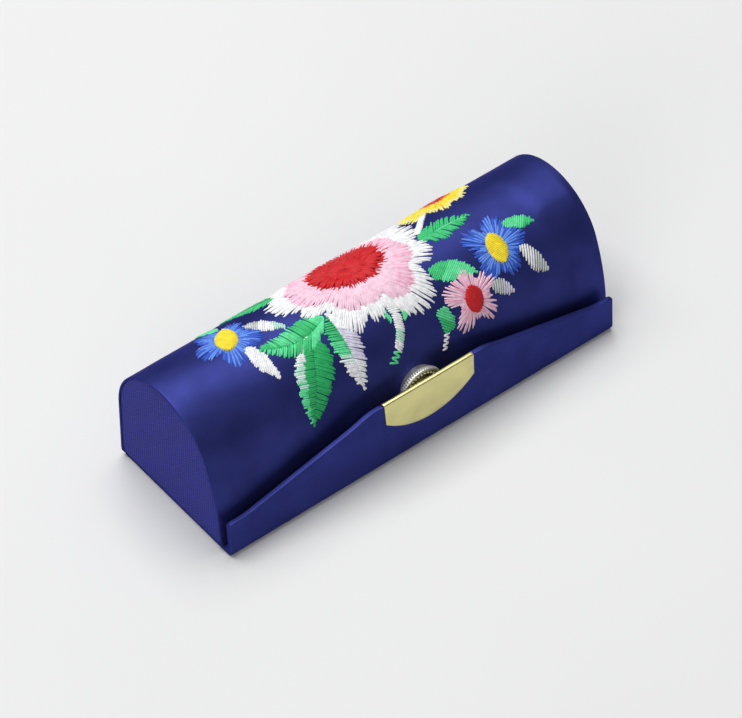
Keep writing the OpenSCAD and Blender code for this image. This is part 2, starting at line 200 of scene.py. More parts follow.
def crimped(x, run, depth):
    """on_cover, with the flap pressed thin where the plate grips it."""
    height = run - BEND_RUN + BEND_R
    gripped = abs(x - CLASP_X) < HALF_PLATE + GRIP_GAP and height > PLATE_TOP - INNER_LEG - GRIP_GAP
    return on_cover(x, run, depth * (CRIMP_T - 0.05) / COVER_T if gripped else depth)


# ---- Mesh helpers ----


def add_object(name, points, faces, material, smooth=True):
    """An object from points in millimetres."""
    mesh = bpy.data.meshes.new(name)
    mesh.from_pydata([[c * MM for c in p] for p in points], [], faces)
    mesh.polygons.foreach_set("use_smooth", [smooth] * len(faces))
    mesh.materials.append(material)
    mesh.update()
    piece = bpy.data.objects.new(name, mesh)
    bpy.context.scene.collection.objects.link(piece)
    return piece


def thicken(piece, thickness=SKIN_T):
    """Gives a skin its thickness, behind its face."""
    modifier = piece.modifiers.new("thickness", "SOLIDIFY")
    modifier.thickness = thickness * MM
    modifier.offset = -1
    return piece


def spaced(low, high, step):
    """Evenly spaced values from low to high, at most a step apart."""
    count = max(1, ceil((high - low) / step))
    return [low + (high - low) * i / count for i in range(count + 1)]


def quarter_turn(radius, inset, depth, leaving=False, steps=4):
    """(inset, depth) pairs around a quarter of a rolled edge."""
    turns = [pi / 2 * i / steps for i in range(1, steps + 1)]
    if leaving:
        return [(inset + radius * (1 - cos(a)), depth + radius * sin(a)) for a in turns]
    return [(inset - radius * sin(a), depth + radius * (1 - cos(a))) for a in turns]


def folded_edge(radius, thickness, turn_in):
    """From the outer face over an edge of the given thickness, and turn_in back along the inside."""
    pairs = quarter_turn(radius, radius, 0)
    pairs += [(0, thickness / 2), (0, thickness - radius)]
    pairs += quarter_turn(radius, 0, thickness - radius, leaving=True)
    return pairs + [(v, thickness) for v in spaced(radius + 0.7, turn_in, 0.8)]


def rolled_edge(radius, thickness):
    """From the outer face over an edge and a little way along its inside."""
    pairs = quarter_turn(radius, radius, 0)
    pairs += [(0, v) for v in spaced(radius, thickness - 0.15, 0.3)[1:]]
    return pairs + [(0.15, thickness), (0.6, thickness)]


def add_rim(points, faces, rim, flat, inset, edge, place, lumps):
    """Carries a skin's rim outwards and over an edge. rim lists its points, flat their (x, run)."""
    count = len(rim)
    area = sum(flat[k - 1][0] * flat[k][1] - flat[k][0] * flat[k - 1][1] for k in range(count))
    side = copysign(1, area)
    outward = []
    for k in range(count):
        before, here, after = Vector(flat[k - 1]), Vector(flat[k]), Vector(flat[(k + 1) % count])
        one = (here - before).normalized()
        two = (after - here).normalized()
        mean = Vector((one.y + two.y, -one.x - two.x)) * side
        outward.append(mean * (2 / max(mean.length_squared, 1)))
    last = rim
    for ring_inset, depth in edge:
        ring = []
        for k in range(count):
            x, run = Vector(flat[k]) + outward[k] * (inset - ring_inset)
            lift = lumps(*flat[k]) * max(0.0, 1 - depth / 0.5) if lumps else 0
            ring.append(len(points))
            points.append(place(x, run, depth - lift))
        for k in range(count):
            n = (k + 1) % count
            faces.append([last[n], last[k], ring[k], ring[n]])
        last = ring


def cloth_skin(name, columns, inset, edge, place, material, lumps=None, hole=None):
    """A sheet of cloth over a board.

    columns holds columns of (x, run) points, whose rim is inset from the board's edge. edge lists
    the (inset, depth) pairs that carry the rim over. lumps(x, run) says how far the cloth stands
    proud of the board, and hole(x, run) where it is cut away.
    """
    rows = len(columns[0])
    flat = [point for column in columns for point in column]
    points = [place(x, run, -lumps(x, run) if lumps else 0) for x, run in flat]
    last = len(columns) - 1
    faces = []
    for i in range(last):
        for j in range(rows - 1):
            a = i * rows + j
            if not (hole and hole(*flat[a])):
                faces.append([a, a + rows, a + rows + 1, a + 1])
    rim = [i * rows for i in range(last)]
    rim += [last * rows + j for j in range(rows - 1)]
    rim += [i * rows + rows - 1 for i in range(last, 0, -1)]
    rim += list(range(rows - 1, 0, -1))
    if edge:
        add_rim(points, faces, rim, [flat[k] for k in rim], inset, edge, place, lumps)
    return add_object(name, points, faces, material)


def panel_skin(name, outline, inset, edge, place, material, lumps=None):
    """A sheet of cloth over a board with a round outline, laid out in rings about its middle."""
    rings = 14
    count = len(outline)
    middle = Vector((sum(p[0] for p in outline) / count, sum(p[1] for p in outline) / count))
    flat = []
    faces = []
    for ring in range(rings):
        share = 1 - ring / rings
        flat += [middle + (Vector(p) - middle) * share for p in outline]
        if ring:
            for k in range(count):
                n = (k + 1) % count
                outer, inner = (ring - 1) * count, ring * count
                faces.append([outer + k, outer + n, inner + n, inner + k])
    flat.append(middle)
    inner = (rings - 1) * count
    faces += [[inner + k, inner + (k + 1) % count, rings * count] for k in range(count)]
    points = [place(u, v, -lumps(u, v) if lumps else 0) for u, v in flat]
    add_rim(points, faces, list(range(count)), outline, inset, edge, place, lumps)
    return add_object(name, points, faces, material)


# ---- Materials ----


class Nodes:
    """A small builder for one procedural material."""

    def __init__(self, name, color, roughness, metallic=0.0):
        self.material = bpy.data.materials.new(name)
        self.material.use_nodes = True
        self.tree = self.material.node_tree
        self.shader = self.tree.nodes["Principled BSDF"]
        self.shader.inputs["Base Color"].default_value = (*color, 1)
        self.shader.inputs["Roughness"].default_value = roughness
        self.shader.inputs["Metallic"].default_value = metallic
        self.material.diffuse_color = (*color, 1)

    def set(self, **values):
        for name, value in values.items():
            self.shader.inputs[name.replace("_", " ")].default_value = value

    def add(self, kind, **inputs):
        node = self.tree.nodes.new(kind)
        for name, value in inputs.items():
            node.inputs[name.replace("_", " ")].default_value = value
        return node

    def link(self, source, target):
        self.tree.links.new(source, target)

    def position(self, scale=(1, 1, 1), turn=(0, 0, 0)):
        """Object coordinates in metres, scaled and turned."""
        place = self.add("ShaderNodeTexCoord")
        mapping = self.add("ShaderNodeMapping", Scale=scale, Rotation=turn)
        self.link(place.outputs["Object"], mapping.inputs["Vector"])
        return mapping.outputs["Vector"]

    def noise(self, scale, where=None, detail=2.0):
        node = self.add("ShaderNodeTexNoise", Scale=scale, Detail=detail)
        self.link(where or self.position(), node.inputs["Vector"])
        return node.outputs["Fac"]

    def bands(self, scale, direction, where=None):
        node = self.add("ShaderNodeTexWave", Scale=scale)
        node.bands_direction = direction
        self.link(where or self.position(), node.inputs["Vector"])
        return node.outputs["Fac"]

    def maths(self, operation, a, b):
        node = self.tree.nodes.new("ShaderNodeMath")
        node.operation = operation
        for socket, value in zip(node.inputs, (a, b)):
            if isinstance(value, (int, float)):
                socket.default_value = value
            else:
                self.link(value, socket)
        return node.outputs["Value"]

    def colour_between(self, fac, low, high, start=0.3, end=0.7):
        ramp = self.tree.nodes.new("ShaderNodeValToRGB")
        ramp.color_ramp.elements[0].position = start
        ramp.color_ramp.elements[0].color = (*low, 1)
        ramp.color_ramp.elements[1].position = end
        ramp.color_ramp.elements[1].color = (*high, 1)
        self.link(fac, ramp.inputs["Fac"])
        self.link(ramp.outputs["Color"], self.shader.inputs["Base Color"])

    def roughness_between(self, fac, low, high):
        spread = self.maths("MULTIPLY_ADD", fac, high - low)
        spread.node.inputs[2].default_value = low
        self.link(spread, self.shader.inputs["Roughness"])

    def bump(self, height, distance, strength=1.0):
        node = self.add("ShaderNodeBump", Strength=strength, Distance=distance)
        self.link(height, node.inputs["Height"])
        self.link(node.outputs["Normal"], self.shader.inputs["Normal"])


def shade(color, amount):
    return tuple(c * amount for c in color)


def satin_material():
    """Glossy woven satin: long floats along the case, which reflect in the cloth's own colour."""
    m = Nodes("navy_satin", NAVY, 0.42, metallic=0.8)
    m.set(Specular_Tint=(0.25, 0.25, 0.6, 1), Specular_IOR_Level=0.3)
    floats = m.noise(1.0, m.position(scale=(900, 5200, 5200)), detail=3)
    blotches = m.noise(140)
    m.colour_between(blotches, shade(NAVY, 0.85), shade(NAVY, 1.15))
    m.roughness_between(floats, 0.44, 0.6)
    ribs = m.bands(1400, "DIAGONAL")
    m.bump(m.maths("ADD", floats, m.maths("MULTIPLY", ribs, 0.3)), 0.00002, 0.5)
    return m.material


def matte_weave_material():
    """The end panels' plain weave: the satin's dull side, with a fine dotted grid."""
    m = Nodes("navy_weave", WEAVE_NAVY, 0.8)
    m.set(Specular_IOR_Level=0.2, Specular_Tint=(0.5, 0.5, 1, 1))
    dots = m.maths("MULTIPLY", m.bands(WEAVE_BANDS, "Y"), m.bands(WEAVE_BANDS, "Z"))
    m.colour_between(dots, shade(WEAVE_NAVY, 0.8), shade(WEAVE_NAVY, 1.5), 0.1, 0.9)
    m.bump(dots, 0.00008, 0.8)
    return m.material


def lining_material():
    m = Nodes("dark_lining", LINING, 0.6)
    m.set(Sheen_Weight=0.3, Specular_IOR_Level=0.4)
    ribs = m.maths("MULTIPLY", m.bands(1500, "X"), m.bands(1500, "DIAGONAL"))
    m.colour_between(m.noise(200), shade(LINING, 0.7), shade(LINING, 1.4))
    m.bump(ribs, 0.00004, 0.7)
    return m.material


def card_material():
    color = (0.38, 0.33, 0.26)
    m = Nodes("card", color, 0.9)
    fibres = m.noise(900, m.position(scale=(1, 3, 1)), detail=6)
    m.colour_between(fibres, shade(color, 0.75), shade(color, 1.15))
    m.bump(fibres, 0.00003)
    return m.material


def brushed_material(name, color, roughness):
    """Sheet metal, brushed along X."""
    m = Nodes(name, color, roughness, metallic=1.0)
    streaks = m.noise(1.0, m.position(scale=(60, 5000, 5000)), detail=3)
    m.colour_between(m.noise(260), shade(color, 0.86), color)
    m.roughness_between(streaks, roughness - 0.08, roughness + 0.12)
    m.bump(streaks, 0.000012, 0.5)
    return m.material


def polished_material(name, color, roughness):
    """Plated metal with faint marks from handling."""
    m = Nodes(name, color, roughness, metallic=1.0)
    marks = m.noise(900, detail=4)
    m.colour_between(marks, shade(color, 0.8), color)
    m.roughness_between(marks, roughness, roughness + 0.15)
    m.bump(marks, 0.00001, 0.3)
    return m.material


def mirror_material():
    m = Nodes("mirror_glass", (0.86, 0.88, 0.89), 0.03, metallic=1.0)
    m.set(Coat_Weight=0.6, Coat_Roughness=0.02)
    smudges = m.noise(60, detail=5)
    m.colour_between(smudges, (0.84, 0.86, 0.87), (0.89, 0.9, 0.91))
    m.roughness_between(smudges, 0.01, 0.06)
    return m.material


def tape_material():
    m = Nodes("foam_tape", (0.8, 0.8, 0.78), 0.8)
    cells = m.noise(2500, detail=3)
    m.colour_between(cells, (0.7, 0.7, 0.68), (0.86, 0.86, 0.84))
    m.bump(cells, 0.00003)
    return m.material


def thread_material(name, color):
    """Glossy rayon thread: a twist along each stitch, and slightly lighter and darker stitches."""
    m = Nodes("thread_" + name, color, 0.5)
    m.set(Specular_IOR_Level=0.4)
    uv = m.add("ShaderNodeUVMap")
    twist = m.bands(1.6, "DIAGONAL", uv.outputs["UV"])
    stitches = m.noise(1100, detail=1)
    m.colour_between(stitches, shade(color, 0.84), tuple(min(1, c * 1.06) for c in color))
    m.bump(twist, 0.00004, 0.6)
    return m.material


def floor_material():
    m = Nodes("floor", (0.74, 0.74, 0.735), 0.8)
    m.set(Specular_IOR_Level=0.2)
    m.colour_between(m.noise(9, detail=2), (0.73, 0.73, 0.725), (0.75, 0.75, 0.745))
    return m.material


SATIN = satin_material()
WEAVE = matte_weave_material()
LINING_CLOTH = lining_material()
CARD = card_material()
BRASS = brushed_material("brass_sheet", (0.73, 0.68, 0.31), 0.32)
DISH_BRASS = polished_material("brass_dish", (0.34, 0.31, 0.13), 0.35)
NICKEL = polished_material("nickel", (0.95, 0.93, 0.82), 0.42)
WIRE = polished_material("spring_wire", (0.6, 0.6, 0.62), 0.3)
THREAD = {name: thread_material(name, color) for name, color in THREADS.items()}

# ---- Satin and linings ----


def uneven(u, v, u_size, v_size, seed):
    """Smooth noise between about -1 and 1, with lumps of the given sizes."""
    return noise.noise(Vector((u / u_size, v / v_size, seed)))


def fade(value, low, high, span):
    """0 at either end of a range, and 1 further than span inside it."""
    inside = min(value - low, high - value) / span
    t = max(0.0, min(1.0, inside))
    return t * t * (3 - 2 * t)


def fold(x, run):
    """A sharp fold across the crown beside the right end: a ridge that fades out on both sides."""
    height, reach = 0.5, 4.5
    line = 6.3 + 0.35 * max(0.0, 39.5 - x) ** 1.5
    return height * exp(-abs(line - run) / reach) * fade(x, 34.5, 55, 5)


def trough_lumps(x, run):
    """The glued satin's slow unevenness, and the fold near its right end."""
    slow = 0.06 * uneven(x, run, 13, 8, 1.5)
    fine = 0.012 * uneven(x, run, 3, 1.6, 4.5)
    edges = fade(x, -HALF_LEN, HALF_LEN, 4) * fade(run, BACK_RUN, FRONT_RUN, 4)
    return (slow + fine) * edges + fold(x, run) * fade(x, -HALF_LEN, HALF_LEN, 1.5)


def stud_axis_depth(x, height):
    """How deep the trough's face lies behind the flap's, along the press stud's axis."""
    _, y, z = on_flap(x, height, 0)
    c, s = cos(FLAP_LEAN), sin(FLAP_LEAN)
    dy, dz = y - FRONT_Y, z - FRONT_Z
    half = dy * c - dz * s
    return -half - sqrt(half * half - (dy * dy + dz * dz - FRONT_R ** 2))


SOCKET_AT = on_flap(0, CLASP_H, stud_axis_depth(0, CLASP_H))
SOCKET_RUN = front_run(SOCKET_AT[2])
HOLE_R = 2.9  # through the satin and the lining, behind the socket's dish


def at_socket(x, run):
    return hypot(x - CLASP_X, run - SOCKET_RUN) < HOLE_R


def satin_trough():
    r = 0.2
    runs = spaced(BACK_RUN + r, FRONT_RUN - r, 0.7)[::-1]
    columns = [[(x, run) for run in runs] for x in spaced(-HALF_LEN + r, HALF_LEN - r, 0.7)]

    def place(x, run, depth):
        """At the ends the cloth turns in only as far as the end panel's seam."""
        margin = 0.7
        at_end = abs(x) > HALF_LEN - margin and BACK_RUN + margin < run < FRONT_RUN - margin
        return on_trough(x, run, depth * SEAM_IN / WALL_T if at_end else depth)

    piece = cloth_skin("satin_trough", columns, r, rolled_edge(r, WALL_T), place, SATIN,
                       trough_lumps, at_socket)
    return thicken(piece)


def lining_trough():
    runs = spaced(BACK_RUN + 0.2, FRONT_RUN - 0.2, 0.9)
    columns = [[(x, run) for run in runs] for x in spaced(-LINING_END_X, LINING_END_X, 0.9)]

    def inside(x, run, depth):
        return on_trough(x, run, CAVITY_IN + depth)

    def lumps(x, run):
        return -0.05 - 0.05 * uneven(x, run, 9, 7, 8.5)

    piece = cloth_skin("lining_trough", columns, 0, [], inside, LINING_CLOTH, lumps, at_socket)
    return thicken(piece)


def section_outline(depth, inset):
    """The trough's section, drawn in: up the back, over the crown, down the front, along the floor."""
    runs = spaced(BACK_RUN + inset, FRONT_RUN - inset, 0.9)
    points = [on_trough(0, run, depth + inset)[1:] for run in runs]
    front, back = points[-1][0], points[0][0]
    floor = SPLIT_Z + inset
    points[0], points[-1] = (back, floor), (front, floor)
    return points + [(y, floor) for y in spaced(front, back, 0.9)[1:-1]]


def satin_end(side):
    """One flat end panel, with its edge rolled into the seam; side is -1 or 1."""
    r = 0.2
    outline = section_outline(SEAM_IN + 0.01, r)
    if side < 0:
        outline.reverse()

    def place(y, z, depth):
        return side * (HALF_LEN - SEAM_STEP - depth), y, z

    def lumps(y, z):
        edge = fade(z, SPLIT_Z, CASE_H, 3) * fade(y, SHELL_LOW[1], BACK_Y, 3)
        return edge * 0.05 * (1 + uneven(y, z, 6, 6, side * 3.5))

    edge = quarter_turn(r, r, 0) + [(0, 0.5), (0, HALF_LEN - SEAM_STEP - LINING_END_X)]
    name = "satin_end_right" if side > 0 else "satin_end_left"
    return thicken(panel_skin(name, outline, r, edge, place, WEAVE, lumps))


def lining_end(side):
    outline = section_outline(CAVITY_IN + 0.05, 0.1)
    if side > 0:
        outline.reverse()

    def place(y, z, depth):
        return side * (LINING_END_X + depth), y, z

    name = "lining_end_right" if side > 0 else "lining_end_left"
    return thicken(panel_skin(name, outline, 0.1, [(0, 0.05)], place, LINING_CLOTH))


def flap_polyline(x):
    """The flap's outline before it is rounded. Its raised middle is centred on the clasp."""
    shift = copysign(CLASP_X, x)
    outline = [
        (0, FLAP_TOP),
        (SHOULDER_X + shift, FLAP_TOP),
        (SLOPE_X + shift, FLAP_TOP - SHOULDER_DROP),
        (SLOPE_END_X, FLAP_END),
        (2 * HALF_COVER, FLAP_END),
    ]
    for (ax, az), (bx, bz) in zip(outline, outline[1:]):
        if abs(x) <= bx:
            return az + (bz - az) * (abs(x) - ax) / (bx - ax)
    return FLAP_END


def flap_height(x):
    """The flap's rounded outline: its height up the flap from the table."""
    mean = sum(flap_polyline(x + step * 0.4) for step in range(-3, 4)) / 7
    corner = min(CORNER_R, max(0.0, abs(x) - HALF_COVER + CORNER_R))
    return mean - CORNER_R + sqrt(CORNER_R ** 2 - corner ** 2)


def flap_lumps(x, run):
    """Unevenness of the flap's face, with puckers beside the plate, and none underneath."""
    if run <= BEND_RUN:
        return 0.0
    height = run - BEND_RUN + BEND_R
    slow = 0.05 * uneven(x, run, 8, 5, 21.5)
    beside = exp(-(((abs(x - CLASP_X) - HALF_PLATE - 2.6) / 2.2) ** 2))
    pucker = 0.07 * beside * sin(1.9 * x + 0.8 * height)
    free = fade(x, -HALF_COVER, HALF_COVER, 3) * fade(height, BEND_R, flap_height(x), 2.5)
    return (slow + pucker) * free


def cover_columns(inset):
    """Columns over the cover's underside, round the bend and up the flap, drawn in by inset."""
    start = BEND_Y - COVER_BACK + inset
    left, right = CLASP_X - HALF_PLATE - GRIP_GAP, CLASP_X + HALF_PLATE + GRIP_GAP
    beside = 0.02
    xs = spaced(-HALF_COVER + inset, left - beside, 0.7)
    xs += spaced(left + beside, right - beside, 0.7)
    xs += spaced(right + beside, HALF_COVER - inset, 0.7)
    columns = []
    for x in xs:
        top = flap_height(x) - inset - BEND_R + BEND_RUN
        runs = spaced(start, -0.01, 0.9)[:-1] + spaced(0, BEND_RUN, 0.35)
        runs += [BEND_RUN + (top - BEND_RUN) * k / 22 for k in range(1, 23)]
        columns.append([(x, run) for run in runs])
    return columns


def satin_front():
    """One sheet under the cover, round the bend and up the flap, turned in along every edge."""
    r = 0.22
    edge = folded_edge(r, COVER_T, TURN_IN)
    piece = cloth_skin("satin_front", cover_columns(r), r, edge, crimped, SATIN, flap_lumps)
    return thicken(piece)


def lining_front():
    """The lining inside the cover and the flap, over the satin's turned-in edge."""
    columns = [column[::-1] for column in cover_columns(TURN_IN - 0.8)]

    def inside(x, run, depth):
        return crimped(x, run, COVER_T + depth)

    def lumps(x, run):
        return -0.03 - 0.02 * (1 + uneven(x, run, 9, 6, 30.5))

    return thicken(cloth_skin("lining_front", columns, 0, [], inside, LINING_CLOTH, lumps), 0.04)


def strip(name, half_x, path, material, thickness):
    """A strip of cloth along X whose section follows path, a list of (y, z)."""
    columns = [[(x, k) for k in range(len(path))] for x in spaced(-half_x, half_x, 1.0)]

    def place(x, k, depth):
        return (x, *path[int(k)])

    return thicken(cloth_skin(name, columns, 0, [], place, material), thickness)


def satin_hinge():
    """From the cover's back edge up to the trough's, along one smooth curve."""
    start = Vector((COVER_BACK - 0.1, 0.14))
    bulge = Vector((16.75, 0.1))
    end = Vector((BACK_Y, SPLIT_Z + 0.3))
    path = [start * (1 - t) ** 2 + bulge * 2 * t * (1 - t) + end * t ** 2 for t in spaced(0, 1, 0.1)]
    return strip("satin_hinge", HALF_COVER, [tuple(p) for p in path], SATIN, SKIN_T)


def lining_hinge():
    """Down the trough's back wall, round a corner and forward over the cover's lining."""
    wall_y = HINGE_HIGH[1] - 0.05
    foot_z = COVER_T + 0.12
    r = 0.45
    path = [(wall_y, z) for z in spaced(HINGE_HIGH[2], foot_z + r, 0.6)]
    turns = [pi / 2 * k / 5 for k in range(1, 6)]
    path += [(wall_y - r + r * cos(a), foot_z + r - r * sin(a)) for a in turns]
    path += [(y, foot_z) for y in spaced(wall_y - r, HINGE_LOW[1], 0.6)[1:]]
    return strip("lining_hinge", HINGE_HIGH[0], path, LINING_CLOTH, 0.08)


# ---- Clasp ----


def close_up(piece):
    """Turns a closed piece's faces outwards."""
    mesh = bmesh.new()
    mesh.from_mesh(piece.data)
    bmesh.ops.recalc_face_normals(mesh, faces=mesh.faces)
    mesh.to_mesh(piece.data)
    mesh.free()
    return piece


def clasp_plate():
    """Folded sheet over the flap's top edge, with an arc below and a shallow pressed face."""
    fold_r = CRIMP_T / 2 + PLATE_T
    fold_h = 0.45
    taper_w = 0.4
    sag_r = (HALF_PLATE ** 2 + PLATE_SAG ** 2) / (2 * PLATE_SAG)
    columns = []
    for x in spaced(-HALF_PLATE, HALF_PLATE, 0.4):
        low = PLATE_TOP - PLATE_H + sag_r - sqrt(sag_r ** 2 - x ** 2)
        front = [(x, low + (PLATE_TOP - low) * k / 16, -PLATE_T) for k in range(16)]
        turns = [pi * k / 12 for k in range(13)]
        over = [(x, PLATE_TOP + fold_h * max(0, sin(a)) ** 0.6, -PLATE_T + fold_r * (1 - cos(a)))
                for a in turns]
        back = [(x, PLATE_TOP - INNER_LEG * k / 6, CRIMP_T + PLATE_T) for k in range(1, 7)]
        columns.append(front + over + back)
    rows = len(columns[0])
    points = []
    for column in columns:
        for x, height, depth in column:
            dent = 0.03 * uneven(x, height, 4, 3, depth)
            taper = taper_w * max(0.0, -x) / HALF_PLATE * max(0.0, PLATE_TOP - height) / PLATE_H
            points.append(on_flap(CLASP_X + x + taper, height, depth - dent))
    faces = []
    for i in range(len(columns) - 1):
        for j in range(rows - 1):
            a = i * rows + j
            faces.append([a, a + rows, a + rows + 1, a + 1])
    piece = thicken(add_object("plate", points, faces, BRASS), PLATE_T)
    soften = piece.modifiers.new("edges", "BEVEL")
    soften.width = 0.12 * MM
    soften.segments = 2
    soften.angle_limit = radians(50)
    return piece


def turned(name, profile, material, segments=96, wobble=None):
    """A turned piece about the stud's axis, from (radius, depth) pairs round its section.

    A depth of None reaches just into the trough's face.
    """
    points = []
    faces = []
    for r, depth in profile:
        for k in range(segments):
            angle = 2 * pi * k / segments
            radius = r + (wobble(angle, r) if wobble else 0)
            x, height = radius * cos(angle), CLASP_H + radius * sin(angle)
            deep = stud_axis_depth(x, height) + 0.1 if depth is None else depth
            points.append(on_flap(CLASP_X + x, height, deep))
    rings = len(profile)
    for i in range(rings):
        a, b = i * segments, (i + 1) % rings * segments
        faces += [[a + k, b + k, b + (k + 1) % segments, a + (k + 1) % segments] for k in range(segments)]
    return close_up(add_object(name, points, faces, material))


def socket_ring():
    """The socket's rim, milled round its side like a coin, on a narrower neck."""
    teeth = 56
    inner = RIM_R - RIM_W
    neck = RIM_R - 0.5
    profile = [
        (neck, None), (neck, RIM_DEPTH + 1.3), (RIM_R - 0.2, RIM_DEPTH + 1.2),
        (RIM_R, RIM_DEPTH + 1.05), (RIM_R, RIM_DEPTH + 0.45), (RIM_R - 0.01, RIM_DEPTH + 0.3),
        (RIM_R - 0.12, RIM_DEPTH + 0.1), (RIM_R - 0.3, RIM_DEPTH), (inner + 0.2, RIM_DEPTH + 0.02),
        (inner + 0.05, RIM_DEPTH + 0.12), (inner, RIM_DEPTH + 0.3), (inner, None),
    ]

    def milled(angle, r):
        return 0.14 * cos(teeth * angle) - 0.1 if r == RIM_R else 0

    return turned("socket_ring", profile, NICKEL, teeth * 5, milled)


def socket_bowl():
    """The pressed dish inside the rim, with a rolled lip round the stud's way in."""
    edge = RIM_R - RIM_W + 0.1
    front = [
        (edge, 2.0), (3.7, 2.05), (3.55, 2.0), (3.3, 2.02), (3.1, 2.2), (2.9, 2.25),
        (2.8, 2.05), (2.6, 1.95), (2.4, 2.0), (2.3, 2.2),
    ]
    behind = [(r, depth + 0.15) for r, depth in reversed(front)]
    return turned("socket_bowl", front + behind, DISH_BRASS)


def socket_beads():
    """A ring of small pressed beads just inside the rim."""
    count = 32
    ring_r = 3.95
    bead_r = 0.33
    bed_depth = 2.02
    turns, rings = 10, 6
    points = []
    faces = []
    for k in range(count):
        around = 2 * pi * k / count
        cx, ch = CLASP_X + ring_r * cos(around), CLASP_H + ring_r * sin(around)
        first = len(points)
        for i in range(rings + 1):
            polar = pi * i / rings
            for j in range(turns):
                a = 2 * pi * j / turns
                spread = bead_r * max(0.02, sin(polar))
                points.append(on_flap(cx + spread * cos(a), ch + spread * sin(a),
                                      bed_depth - bead_r * cos(polar)))
        for i in range(rings):
            for j in range(turns):
                a, b = first + i * turns, first + (i + 1) * turns
                n = (j + 1) % turns
                faces.append([a + j, a + n, b + n, b + j])
        faces.append([first + j for j in range(turns)])
        faces.append([first + rings * turns + j for j in range(turns)])
    return close_up(add_object("socket_beads", points, faces, NICKEL))


# ---- Embroidery ----
# Places are (x, run) in millimetres, and directions are in degrees from +X towards the front.

THREAD_W = 0.46
THREAD_H = 0.2
STATIONS = (0, 0.07, 0.25, 0.5, 0.75, 0.93, 1)  # shares of a stitch's length
ARCH = ((-0.5, 0), (-0.36, 0.8), (0, 1), (0.36, 0.8), (0.5, 0))  # its section: (across, up)


class Threads:
    """The stitches of one colour in one motif, gathered into one piece."""

    def __init__(self):
        self.points = []
        self.faces = []
        self.uv = []

    def stitch(self, start, end, base=0.0, height=THREAD_H, width=THREAD_W):
        """One arched stitch from start to end, its ends drawn down into the satin."""
        start, end = Vector(start), Vector(end)
        length = (end - start).length
        if length < 0.4:
            return
        along = (end - start) / length
        side = Vector((-along.y, along.x))
        first = len(self.points)
        for t in STATIONS:
            rise = 1 - abs(2 * t - 1) ** 5
            centre = start + along * length * t
            spread = width * (0.55 + 0.45 * rise)
            for across, up in ARCH:
                at = centre + side * spread * across
                self.points.append(on_trough(at.x, at.y, 0.03 - (base + height) * rise * (0.25 + 0.75 * up)))
                self.uv.append((length * t, across + 0.5))
        count = len(ARCH)
        for i in range(len(STATIONS) - 1):
            a, b = first + i * count, first + (i + 1) * count
            for k in range(count):
                n = (k + 1) % count
                self.faces.append([a + k, b + k, b + n, a + n])
        self.faces.append([first + k for k in range(count)])
        last = len(self.points) - count
        self.faces.append([last + k for k in reversed(range(count))])

    def build(self, name, material):
        piece = add_object(name, self.points, self.faces, material)
        layer = piece.data.uv_layers.new(name="along")
        for loop in piece.data.loops:
            layer.data[loop.index].uv = self.uv[loop.vertex_index]
        return close_up(piece)


SEWN = {}


def threads(motif, colour):
    return SEWN.setdefault((motif, colour), Threads())


def jitter(most):
    return DICE.uniform(-most, most)


def toward(centre, angle, radius):
    return centre[0] + radius * cos(angle), centre[1] + radius * sin(angle)


def level(size):
    """The same radius in every direction."""
    return lambda angle: size


def scaled(radius, share):
    """A share of the radius that another outline gives."""
    return lambda angle: radius(angle) * share


def lobed(petals, base, roundness=0.3):
    """A radius for each direction, from (direction, reach, half angle) of each petal."""
    def radius(angle):
        best = base
        for direction, reach, half in petals:
            off = abs((degrees(angle) - direction + 180) % 360 - 180) / half
            if off < 1:
                best = max(best, reach * (1 - roundness * off ** 2.4))
        return best
    return radius


def oval_radius(centre, middle, half_x, half_run):
    """A radius about centre for each direction, out to an oval about middle."""
    def radius(angle):
        u, v = cos(angle) / half_x, sin(angle) / half_run
        dx, dy = (centre[0] - middle[0]) / half_x, (centre[1] - middle[1]) / half_run
        a, b, c = u * u + v * v, u * dx + v * dy, dx * dx + dy * dy - 1
        return (-b + sqrt(b * b - a * c)) / a
    return radius


def fan(sewn, centre, inner, outer, pitch, base=0.0, ragged=0.5, sector=(0, 360), height=THREAD_H,
        width=THREAD_W):
    """Long stitches that radiate from inner to outer, with ends as uneven as ragged says."""
    girth = 2 * pi * sum(outer(k * pi / 12) for k in range(24)) / 24
    count = int(girth / pitch)
    first, last = round(count * sector[0] / 360), round(count * sector[1] / 360)
    for k in range(first, last):
        angle = 2 * pi * (k + jitter(0.35)) / count
        low = inner(angle) + jitter(ragged) * 0.6
        high = outer(angle) + DICE.uniform(-ragged, ragged * 0.6)
        lean = jitter(0.015)
        if high - low > 0.7:
            sewn.stitch(toward(centre, angle, max(low, 0.15)), toward(centre, angle + lean, high),
                        base + DICE.uniform(0, 0.05), height, width)


def oval_centre(sewn, centre, half_long, half_short, direction):
    """A raised oval of parallel stitches across its long axis."""
    base, height = 0.34, 0.34
    turn = radians(direction)
    along = Vector((cos(turn), sin(turn)))
    side = Vector((-along.y, along.x))
    for t in spaced(-0.97, 0.97, 0.33 / half_long):
        half = half_short * sqrt(1 - t * t) + DICE.uniform(-0.05, 0.12)
        middle = Vector(centre) + along * half_long * t
        sewn.stitch(middle - side * half, middle + side * half, base, height)


def shared(colours, t, stray=0.0):
    """A single colour, or the one that a list of colours in even shares gives near t."""
    if isinstance(colours, str):
        return colours
    near = t + jitter(stray)
    return colours[max(0, min(len(colours) - 1, int(len(colours) * near)))]


def leaf_width(t):
    """How wide a leaf is at t along it, for a greatest width of 1."""
    return sin(pi * t ** 0.75) ** 0.85


